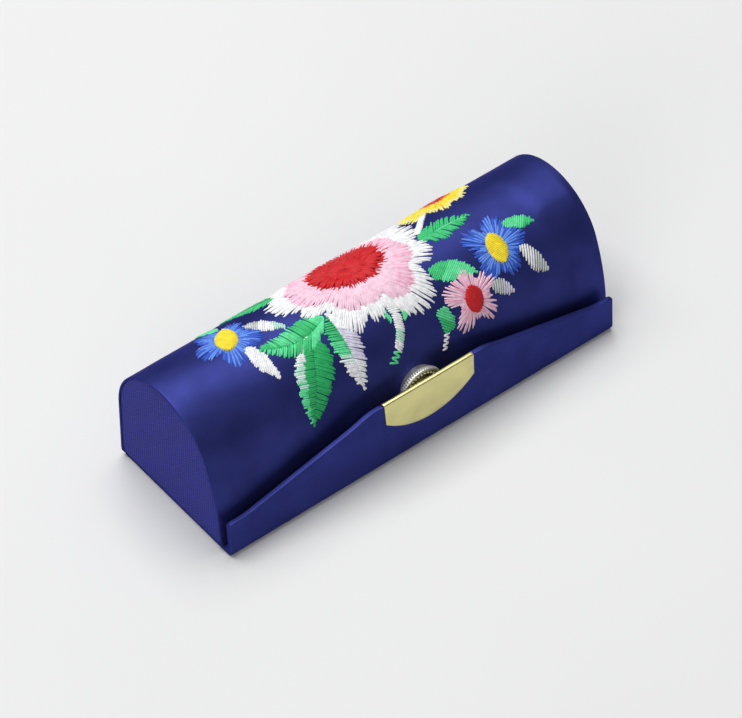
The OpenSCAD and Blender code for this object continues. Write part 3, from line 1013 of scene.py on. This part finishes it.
def leaf(motif, colours, base, tip, halves, bend=0.0, pitch=0.37, slants=(1.5, 1.5), edges=(None, None),
         rib=None, lift=0.0):
    """Fishbone stitches from a midrib out to both edges.

    colours, halves, slants and edges each give one side and then the other; the first side is the
    one that faces -X on a leaf that points towards the front. slants say how far the stitches lean
    towards the tip, and edges are the colours of an outer row.
    """
    base, tip = Vector(base), Vector(tip)
    length = (tip - base).length
    along = (tip - base) / length
    across = Vector((-along.y, along.x))

    def midrib(t):
        return base + along * length * t + across * bend * 4 * t * (1 - t)

    for sign, half, colour, slant, edge in zip((1, -1), halves, colours, slants, edges):
        for s in spaced(0.25 * pitch, length - 0.15, pitch):
            t = (s + jitter(0.08)) / length
            wide = half * leaf_width(t)
            near = midrib(min(1, max(0, t - slant * leaf_width(t) / length))) - across * sign * 0.12
            far = midrib(t) + across * sign * (wide + DICE.uniform(-0.5, 0.35)) + along * 0.3
            if edge:
                part = 0.56 + jitter(0.1)
                threads(motif, shared(edge, t, 0.12)).stitch(near.lerp(far, part - 0.12), far, lift)
                far = near.lerp(far, part)
            threads(motif, shared(colour, t, 0.08)).stitch(near, far, lift + DICE.uniform(0.02, 0.08))
    if rib:
        threads(motif, rib).stitch(midrib(0.3), midrib(0.97), lift + 0.12, THREAD_H, 0.36)


def striped_leaf(motif, colours, base, tip, halves, direction, pitch=0.52):
    """Parallel stitches right across a leaf, with the satin showing between them."""
    base, tip = Vector(base), Vector(tip)
    length = (tip - base).length
    along = (tip - base) / length
    turn = radians(direction)
    across = Vector((cos(turn), sin(turn)))
    steep = abs(across.x * along.y - across.y * along.x)
    for s in spaced(0.2, length - 0.15, pitch / steep):
        t = s / length
        middle = base + along * s
        reach = [half * leaf_width(t) / steep + DICE.uniform(-0.3, 0.2) for half in halves]
        threads(motif, shared(colours, t)).stitch(middle - across * reach[0], middle + across * reach[1],
                                                  DICE.uniform(0, 0.05))


def stem(colours, points, width, pitch=0.42, slope=0.35, zigzag_from=1.0):
    """A line of short stitches sewn across it. Beyond zigzag_from, a share of its length, they zigzag."""
    points = [Vector(p) for p in points]
    lengths = [(b - a).length for a, b in zip(points, points[1:])]
    total = sum(lengths)
    s, sign = 0.1, 1
    while s < total:
        rest, k = s, 0
        while k < len(lengths) - 1 and rest > lengths[k]:
            rest -= lengths[k]
            k += 1
        along = (points[k + 1] - points[k]) / lengths[k]
        middle = points[k] + along * rest
        open_up = s > zigzag_from * total
        half = Vector((-along.y, along.x)) * (width / 2 + jitter(0.1))
        half += along * slope * (0.6 * sign if open_up else 1)
        threads("stems", shared(colours, s / total, 0.06)).stitch(middle - half, middle + half, 0.04)
        s += pitch * (1.2 if open_up else 1)
        sign = -sign


PEONY = (-1, -4)
PEONY_WHITE = lobed([
    (181, 18.3, 17), (158, 15.2, 12), (124, 15.4, 20), (96, 13.2, 16), (56, 18.3, 25), (20, 17.4, 16),
    (-4, 17.8, 16), (-22, 19.5, 11), (-48, 16, 16), (-75, 14.5, 20), (-110, 14, 22), (-142, 15, 18),
    (202, 16, 14),
], 12)
PEONY_PINK = lobed([
    (181, 14.2, 30), (124, 11.3, 34), (90, 10.6, 24), (52, 14.3, 25), (17, 14.2, 24), (-14, 12.7, 24),
    (-50, 11.6, 26), (-90, 10.8, 32), (-130, 11.4, 28), (212, 12.6, 24),
], 9.6, 0.22)
PEONY_RED = oval_radius(PEONY, (-0.2, -5.2), 7.9, 5.9)


def sew_peony():
    white = threads("peony_white", "white")
    start = scaled(PEONY_PINK, 0.9)
    fan(white, PEONY, start, PEONY_WHITE, 0.4, 0.08, 0.7)
    fan(white, PEONY, start, scaled(PEONY_WHITE, 0.95), 0.5, 0.12, 0.8, (70, 250))
    fan(white, PEONY, start, scaled(PEONY_WHITE, 0.92), 0.48, 0.12, 0.9, (-110, 70))
    pale, pink = threads("peony_pink", "pale_pink"), threads("peony_pink", "pink")
    red = threads("peony_red", "red")
    fan(pale, PEONY, scaled(PEONY_RED, 0.95), PEONY_PINK, 0.33, 0.18, 1.0)
    fan(pale, PEONY, PEONY_RED, scaled(PEONY_PINK, 0.85), 0.4, 0.22, 1.3)
    fan(pink, PEONY, scaled(PEONY_PINK, 0.6), scaled(PEONY_PINK, 0.97), 0.7, 0.24, 1.0, (-20, 62))
    fan(pink, PEONY, scaled(PEONY_PINK, 0.74), scaled(PEONY_PINK, 0.98), 1.3, 0.24, 0.9, (150, 230))
    fan(red, PEONY, scaled(PEONY_RED, 0.45), scaled(PEONY_RED, 1.08), 0.38, 0.32, 1.4)
    fan(red, PEONY, scaled(PEONY_RED, 0.9), scaled(PEONY_RED, 1.2), 0.8, 0.32, 0.7, height=0.16, width=0.26)
    fan(red, PEONY, level(0.2), scaled(PEONY_RED, 0.62), 0.36, 0.38, 0.8)


def sew_small_flower(motif, colours, eye_colour, centre, petals, eye, base=4.9, pitch=0.42):
    """eye is (half of its long axis, half of its short axis, direction of the long axis)."""
    outline = lobed(petals, base)
    start = level(eye[1] * 0.7)
    fan(threads(motif, colours[0]), centre, start, outline, pitch, 0.02, 0.8)
    fan(threads(motif, colours[1]), centre, start, scaled(outline, 0.9), pitch * 1.8, 0.08, 1.3)
    oval_centre(threads("centres", eye_colour), centre, *eye)


def sew_yellow_flower(centre):
    """Petals with a cream edge and an orange throat, round a red eye."""
    outline = lobed([(112, 7.5, 30), (60, 7, 30), (15, 7.4, 32), (-45, 6.9, 34), (-110, 6.9, 34),
                     (160, 11.4, 22)], 5.6, 0.2)
    fan(threads("yellow_petals", "cream"), centre, level(5), outline, 0.44)
    fan(threads("yellow_petals", "yellow"), centre, level(1.6), scaled(outline, 0.93), 0.38, 0.05)
    fan(threads("yellow_petals", "orange"), centre, level(1.6), level(3.7), 0.55, 0.12, 0.8)
    fan(threads("centres", "red"), centre, level(0.2), level(2.7), 0.38, 0.2, 0.6)


def sew_flowers():
    sew_peony()
    sew_small_flower("blue_left", ("blue", "sky"), "yellow", (-29.7, -3.6),
                     [(176, 7.1, 30), (106, 7.4, 28), (36, 6.8, 34), (-44, 6.3, 30), (-113, 7, 30)],
                     (3.3, 2.4, -62))
    sew_small_flower("blue_right", ("blue", "sky"), "yellow", (26.5, 8.4),
                     [(-133, 7.3, 27), (-66, 7, 28), (-2, 7, 30), (71, 6.4, 30), (140, 6.8, 28)],
                     (3, 2.25, 90))
    sew_small_flower("pink_small", ("pale_pink", "pink"), "red", (17.4, 14.8),
                     [(-91, 7.2, 24), (-152, 7.4, 24), (-124, 6.4, 18), (132, 7, 26), (55, 6.6, 26),
                      (-26, 6.3, 28)],
                     (2.7, 2.2, 90), 4, 0.58)
    sew_yellow_flower((26.5, -12.4))


def sew_leaves():
    green, pale = "green_leaves", "pale_leaves"
    leaf(green, (["mint", "green", "mint", "green"], ["mint", "green", "mint"]), (-12, 3.4), (-27, 2.2),
         (3.6, 2.9), -2.2, lift=0.08)
    leaf(green, ("deep_green", "deep_green"), (-16.4, 4.8), (-23.3, 21.2), (4.3, 4.2), 0.2,
         slants=(0.1, 1.2), edges=(["white", "white", "pale_mint", "mint", "mint", "mint"], None))
    leaf(green, ("deep_green", "green"), (-15, -8.8), (-25.2, -13), (2.7, 2.7))
    leaf(green, ("mint", "mint"), (-28.6, -8), (-30.5, -14), (1.4, 1.4))
    leaf(green, ("green", "green"), (14.6, -1.2), (26.3, -0.4), (2.4, 2.7), rib="mint", pitch=0.46)
    striped_leaf(green, ["green", "mint", "mint"], (11.8, 5.4), (20.4, 10.6), (2.5, 2.3), -34, 0.4)
    striped_leaf(green, ["mint", "mint", "green"], (30, 4.9), (36.9, 7.5), (1.6, 1.6), -50, 0.44)
    striped_leaf(green, ["mint", "green"], (11, 13.4), (9.6, 18.9), (2.3, 2.1), 44, 0.5)
    striped_leaf(pale, "white", (-28.8, 0.6), (-26.1, 9.4), (1.9, 1.9), -42, 0.38)
    striped_leaf(pale, ["grey", "white", "pale_mint"], (-25.2, -4.6), (-18.5, 1.3), (1.7, 1.7), -56, 0.44)
    leaf(pale, (["green", "green", "mint", "pale_mint", "white", "white", "white"],
                ["white", "white", "lilac", "lilac", "white", "white"]),
         (-11.3, 2.8), (-10.8, 19.8), (3.1, 3.1), pitch=0.42, slants=(-1.5, 2.1))
    striped_leaf(pale, ["white", "grey"], (30.7, 10.6), (35.4, 18), (1.8, 1.9), 110, 0.56)
    striped_leaf(pale, ["grey", "lilac"], (21.6, 13.9), (26.9, 17.9), (1.7, 1.6), 103, 0.56)


def sew_stems():
    stem(["white", "white", "white", "pale_mint", "white", "mint"],
         [(0.6, 6.4), (1, 9.6), (0.2, 13), (-1.5, 16), (-3.3, 18.2)], 2.0, 0.46, -0.45, 0.82)
    stem(["mint"], [(1.9, 7), (2.7, 9.6), (2.4, 11.4)], 1.1, 0.42, 0.5)
    stem(["mint"], [(-1, 8.6), (-0.6, 10.6)], 0.9, 0.5, 0.5)
    stem(["white"], [(15.4, -2.6), (18, -5), (21, -8), (22, -10.4)], 1.4)
    stem(["white"], [(9.6, 18.4), (8.9, 20), (8.2, 21.6)], 1.3, 0.42, 0.4, 0)


# ---- Building ----

# The CAD node that each motif stands for, and its material slot
MOTIFS = {
    "peony_white": ("peony_white", "white_thread"),
    "peony_pink": ("peony_pink", "pink_thread"),
    "peony_red": ("peony_red", "red_thread"),
    "blue_left": ("blue_flower_left", "blue_thread"),
    "blue_right": ("blue_flower_right", "blue_thread"),
    "pink_small": ("pink_flower", "pink_thread"),
    "yellow_petals": ("yellow_flower", "yellow_thread"),
    "centres": ("flower_centres", "yellow_thread"),
    "green_leaves": ("green_leaves", "green_thread"),
    "pale_leaves": ("pale_leaves", "pale_thread"),
    "stems": ("stems", "pale_thread"),
}


def add_piece(piece, body, slot, *nodes):
    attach(piece, body)
    if nodes:
        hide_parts(*nodes)
    return piece


def build_embroidery():
    sew_flowers()
    sew_leaves()
    sew_stems()
    for (motif, colour), sewn in SEWN.items():
        node, slot = MOTIFS[motif]
        add_piece(sewn.build(f"{motif}_{colour}", THREAD[colour]), "case", slot, node)


def metres(*sizes):
    return tuple(size * MM for size in sizes)


def build_trough():
    skin = add_piece(satin_trough(), "case", "navy_satin", "shell_satin")
    hinge = satin_hinge()
    metres(0, COVER_BACK, 0)
    metres(0, BACK_Y, SPLIT_Z)
    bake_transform(hinge)
    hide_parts("hinge_satin")
    lining = add_piece(lining_trough(), "case", "dark_lining", "shell_lining")
    tab = lining_hinge()
    metres(0, HINGE_LOW[1] + 1.6, COVER_T)
    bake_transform(tab)
    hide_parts("hinge_lining")
    height, depth = CASE_H - SPLIT_Z, BACK_Y - SHELL_LOW[1]
    for side, word in ((-1, "left"), (1, "right")):
        end = add_piece(satin_end(side), "case", "navy_satin", "end_satin_" + word)
        inner = add_piece(lining_end(side), "case", "dark_lining", "end_lining_" + word)
        for cloth in (end, inner):
            metres(depth, height)


def build_cover():
    start, end = metres(0, BEND_Y, 0), metres(0, BEND_Y - BEND_R, BEND_R)
    satin, lining = satin_front(), lining_front()
    for piece, slot, layer in ((satin, "navy_satin", "satin"), (lining, "dark_lining", "lining")):
        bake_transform(piece)
        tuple(start)
        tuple(end)
        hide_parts("cover_" + layer, "bend_" + layer, "flap_" + layer)


def build_clasp():
    add_piece(clasp_plate(), "flap", "brass_sheet", "clasp_plate")
    add_piece(socket_ring(), "case", "nickel", "socket_rim")
    add_piece(socket_bowl(), "case", "brass_dish", "socket_dish")
    add_piece(socket_beads(), "case", "nickel")


def finish_cad_nodes():
    """Materials for the CAD nodes that stay."""
    stays = {
        CARD: ["cover_board", "flap_board", "shell_board", "end_board_left", "end_board_right"],
        BRASS: ["clasp_stud"],
        NICKEL: ["socket_eyelet", "socket_cap"],
        WIRE: ["snap_spring"],
        mirror_material(): ["mirror_glass"],
        tape_material(): ["mirror_tape"],
    }
    for material, nodes in stays.items():
        for node in nodes:
            for slot in bpy.data.objects[node].material_slots:
                slot.material = material


# ---- Stage ----

LENS = 211.0
CAMERA_AZIMUTH = radians(-38.96)
CAMERA_ELEVATION = radians(47.12)
CAMERA_ROLL = radians(0.28)
CAMERA_TARGET = Vector((-0.72, -0.75, 10)) * MM
CAMERA_DISTANCE = 0.833


def add_camera():
    a, e = CAMERA_AZIMUTH, CAMERA_ELEVATION
    back = Vector((sin(a) * cos(e), -cos(a) * cos(e), sin(e)))
    right = Vector((cos(a), sin(a), 0))
    up = back.cross(right)
    c, s = cos(CAMERA_ROLL), sin(CAMERA_ROLL)
    axes = Matrix((right * c + up * s, up * c - right * s, back)).transposed()
    data = bpy.data.cameras.new("camera")
    data.sensor_width = 36
    data.lens = LENS
    data.clip_start = 0.01
    camera = bpy.data.objects.new("camera", data)
    camera.matrix_world = Matrix.Translation(CAMERA_TARGET + back * CAMERA_DISTANCE) @ axes.to_4x4()
    bpy.context.scene.collection.objects.link(camera)
    bpy.context.scene.camera = camera


def add_softbox(name, place, size, power, aim=(0, 0, 0.01)):
    data = bpy.data.lights.new(name, "AREA")
    data.shape = "RECTANGLE"
    data.size, data.size_y = size
    data.energy = power
    light = bpy.data.objects.new(name, data)
    light.location = place
    light.rotation_euler = (Vector(place) - Vector(aim)).to_track_quat("Z", "Y").to_euler()
    bpy.context.scene.collection.objects.link(light)


def studio_world():
    """A dim studio that grows lighter towards its ceiling."""
    world = bpy.data.worlds.new("studio")
    world.use_nodes = True
    tree = world.node_tree
    place = tree.nodes.new("ShaderNodeTexCoord")
    axes = tree.nodes.new("ShaderNodeSeparateXYZ")
    ramp = tree.nodes.new("ShaderNodeValToRGB")
    ramp.color_ramp.elements[0].position = 0.2
    ramp.color_ramp.elements[0].color = (0.05, 0.051, 0.053, 1)
    ramp.color_ramp.elements[1].color = (0.47, 0.475, 0.485, 1)
    tree.links.new(place.outputs["Generated"], axes.inputs["Vector"])
    tree.links.new(axes.outputs["Z"], ramp.inputs["Fac"])
    tree.links.new(ramp.outputs["Color"], tree.nodes["Background"].inputs["Color"])
    return world


def add_stage():
    reach = 6000  # the floor's half width, 6 m
    corners = [(-reach, -reach, 0), (reach, -reach, 0), (reach, reach, 0), (-reach, reach, 0)]
    add_object("floor", corners, [[0, 1, 2, 3]], floor_material(), smooth=False)
    bpy.context.scene.world = studio_world()
    bpy.context.scene.view_settings.view_transform = "Standard"
    add_softbox("overhead", (-0.02, 0.34, 1), (1.0, 0.8), 11.2)
    add_softbox("side_fill", (-0.8, -0.45, 0.38), (0.5, 0.5), 2.3)


build_trough()
build_cover()
build_clasp()
build_embroidery()
finish_cad_nodes()
add_stage()
add_camera()
